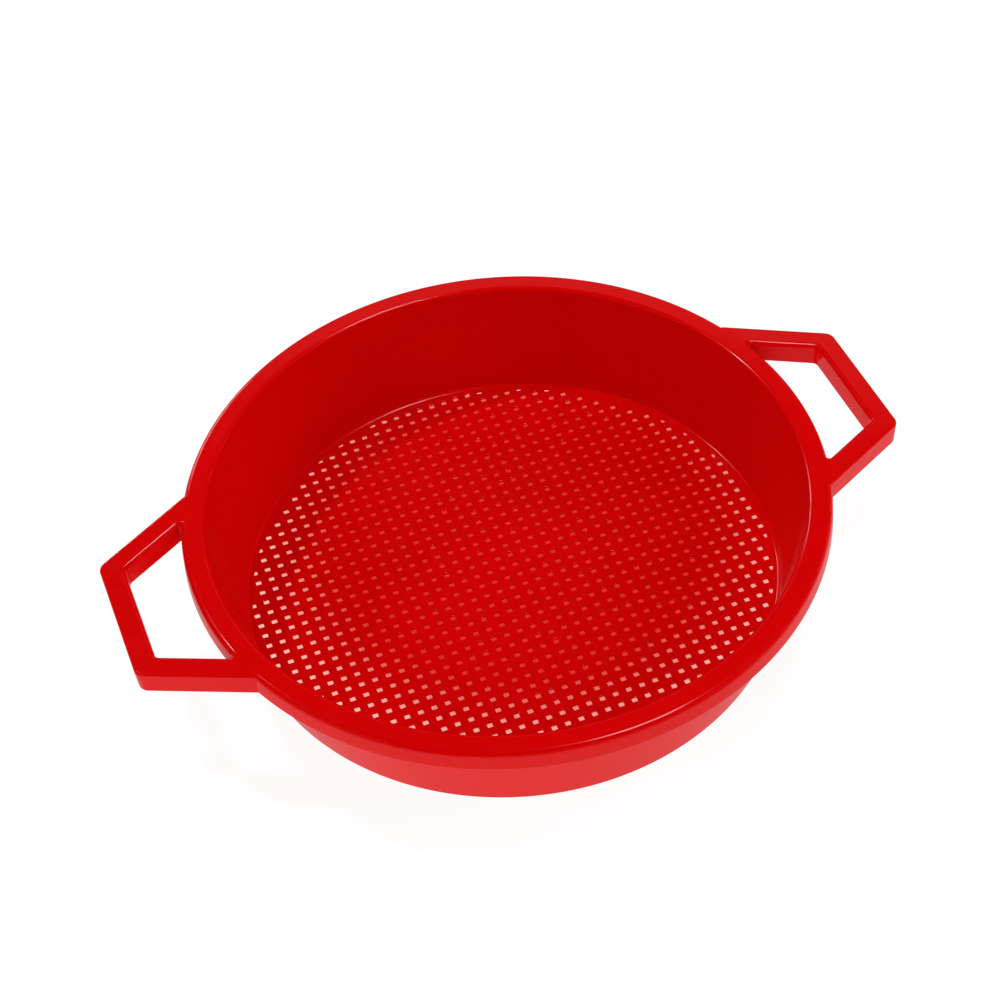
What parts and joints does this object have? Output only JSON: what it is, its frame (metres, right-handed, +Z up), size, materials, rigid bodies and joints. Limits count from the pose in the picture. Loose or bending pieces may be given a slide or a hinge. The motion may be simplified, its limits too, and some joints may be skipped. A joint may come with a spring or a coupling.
{
  "type": "sand sieve",
  "caption": "Round, shallow sand sieve with a square-hole floor, a flat rim with a downturned skirt and two angular loop handles, moulded in glossy red plastic.",
  "frame": {"origin": "centre of the foot's underside, on the ground", "axes": "+X along the line through the two handles, towards the right one; +Z up through the mouth; -Y towards the viewer"},
  "size_m": [0.3468, 0.2812, 0.0565],
  "materials": {
    "red_plastic": "glossy injection-moulded polypropylene"
  },
  "bodies": {
    "root": {"rim": "red_plastic", "rim_skirt": "red_plastic", "bowl_wall": "red_plastic", "foot_ring": "red_plastic", "sieve_front_left": "red_plastic", "sieve_front_right": "red_plastic", "sieve_back_left": "red_plastic", "sieve_back_right": "red_plastic", "left_handle": "red_plastic", "right_handle": "red_plastic", "left_handle_ribs": "red_plastic", "right_handle_ribs": "red_plastic"}
  },
  "joints": []
}
